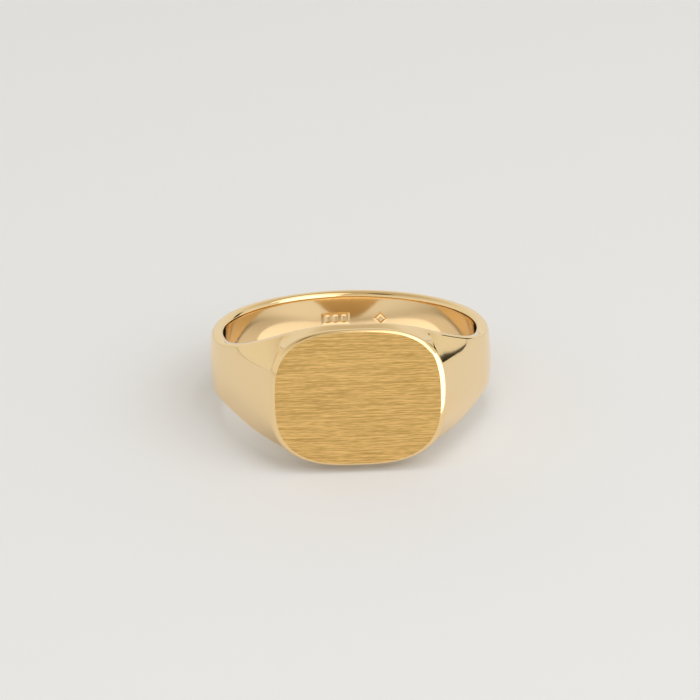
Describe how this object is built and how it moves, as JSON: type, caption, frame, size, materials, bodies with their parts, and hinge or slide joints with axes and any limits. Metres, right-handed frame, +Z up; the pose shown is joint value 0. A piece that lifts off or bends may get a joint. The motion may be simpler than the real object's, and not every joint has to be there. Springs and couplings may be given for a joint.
{
  "type": "signet ring",
  "caption": "Signet ring with a flat cushion-shaped brushed face, polished tapering shoulders and a plain round band, lying on its side.",
  "frame": {"origin": "middle of the finger bore, on its axis", "axes": "+Z up from the surface that the ring lies on, the finger bore within 8.9 degrees of it; +X across the face, to the right of someone who looks at it; the signet face looks toward -Y and a little up"},
  "size_m": [0.0194, 0.0203, 0.0101],
  "materials": {
    "polished_gold": "14 ct yellow gold, mirror polished",
    "brushed_gold": "14 ct yellow gold, brushed in straight lines across the face, its bevel polished",
    "solder_gold": "14 ct hard gold solder, polished flush"
  },
  "bodies": {
    "root": {"shank": "polished_gold", "shoulder_left": "polished_gold", "shoulder_right": "polished_gold", "head": "polished_gold", "face_plate": "brushed_gold", "solder_shank_left": "solder_gold", "solder_shank_right": "solder_gold", "solder_head_left": "solder_gold", "solder_head_right": "solder_gold", "solder_face": "solder_gold"}
  },
  "joints": []
}
